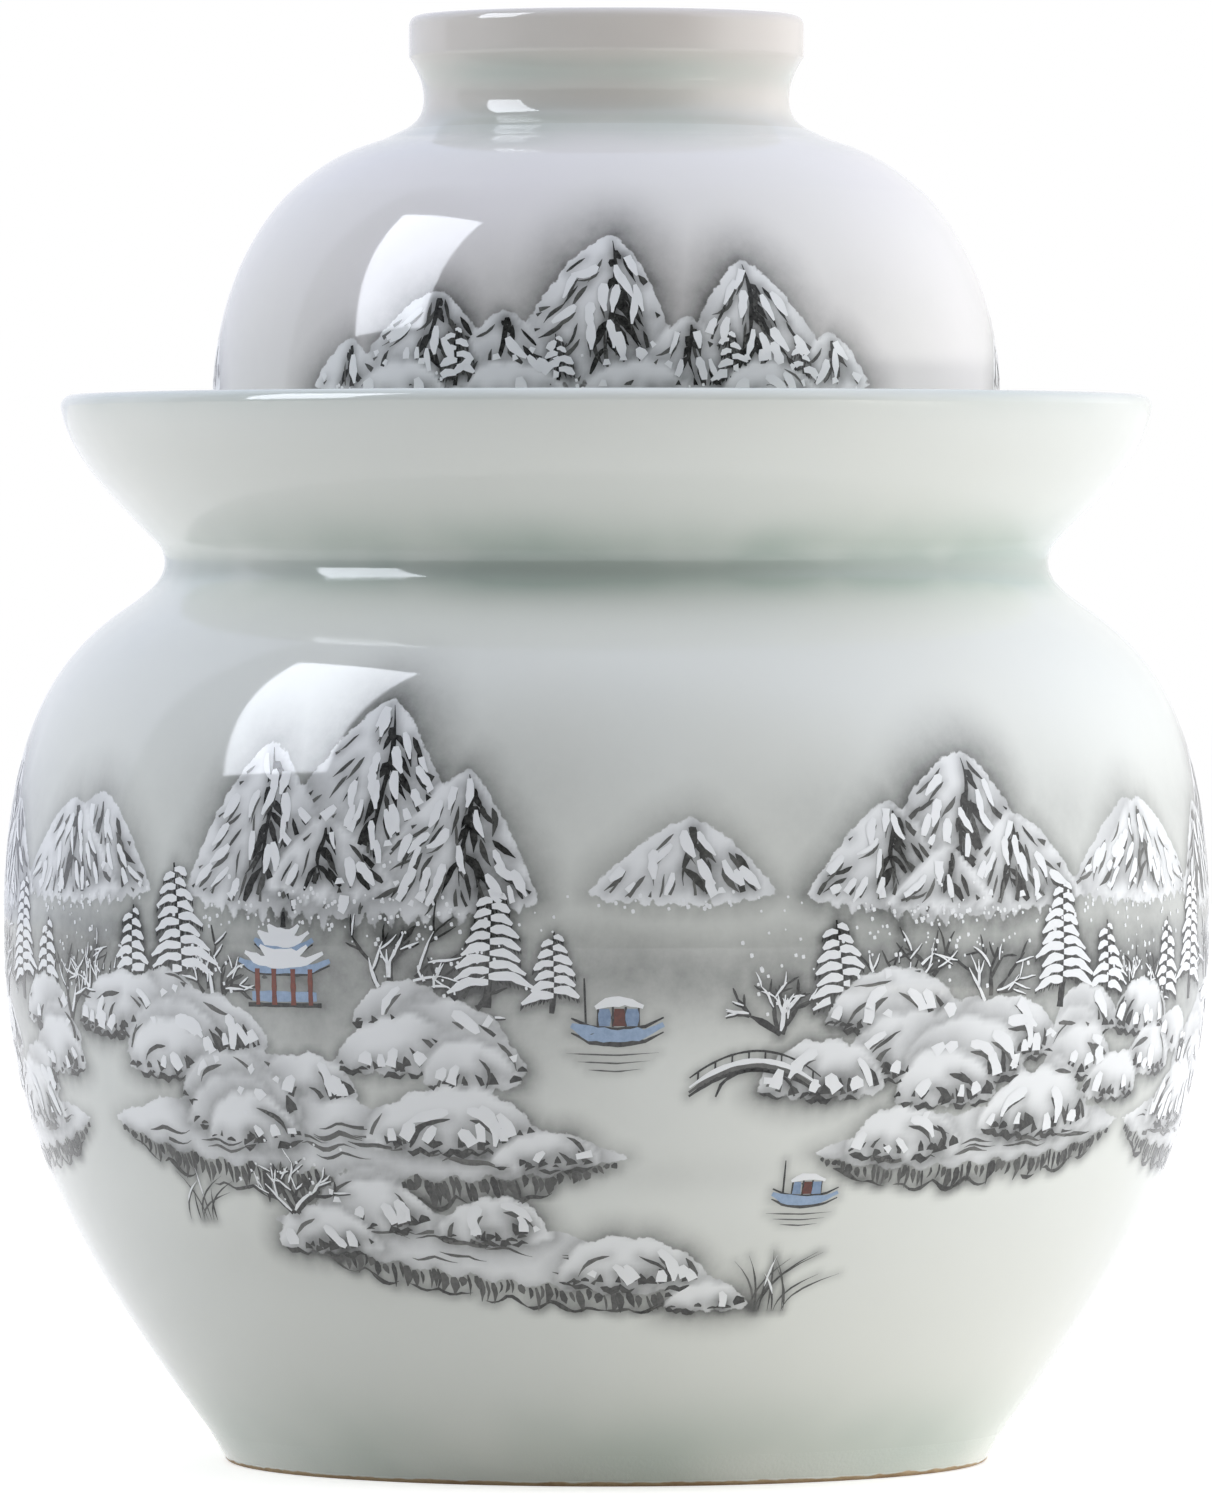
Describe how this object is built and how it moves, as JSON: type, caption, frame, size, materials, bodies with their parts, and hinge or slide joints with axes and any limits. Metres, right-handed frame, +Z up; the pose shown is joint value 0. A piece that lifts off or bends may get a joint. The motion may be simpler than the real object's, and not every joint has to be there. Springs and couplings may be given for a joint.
{
  "type": "water seal pickle jar",
  "caption": "Porcelain fermenting jar with a flared water trough round its mouth, a bell-shaped outer lid that stands in the trough, and an inner lid on the mouth.",
  "frame": {"origin": "middle of the foot ring's flat face, on the table", "axes": "+Z up along the jar's axis of turning; -Y faces the picture's viewer"},
  "size_m": [0.232, 0.232, 0.278],
  "materials": {
    "printed_glaze": "very glossy clear glaze with a faint green cast over a soft grey ink-wash landscape print",
    "plain_glaze": "very glossy clear glaze with a faint green cast on white porcelain",
    "bare_porcelain": "matt unglazed porcelain, fired to a light tan"
  },
  "bodies": {
    "jar": {"foot_ring": "bare_porcelain", "lower_body": "printed_glaze", "upper_body": "printed_glaze", "trough_wall": "plain_glaze", "mouth_neck": "plain_glaze"},
    "outer_lid": {"outer_lid_dome": "printed_glaze", "outer_lid_grip_ring": "plain_glaze"},
    "inner_lid": {"inner_lid_plate": "plain_glaze", "inner_lid_knob": "plain_glaze"}
  },
  "joints": [
    {"name": "outer_lid_lift", "type": "slide", "parent": "jar", "child": "outer_lid", "axis": [0, 0, 1], "range_m": [0, 0.12]},
    {"name": "inner_lid_lift", "type": "slide", "parent": "jar", "child": "inner_lid", "axis": [0, 0, 1], "range_m": [0, 0.04]}
  ],
  "couplings": [
    {"joint": "inner_lid_lift", "follows": "outer_lid_lift", "ratio": 0.3333}
  ]
}
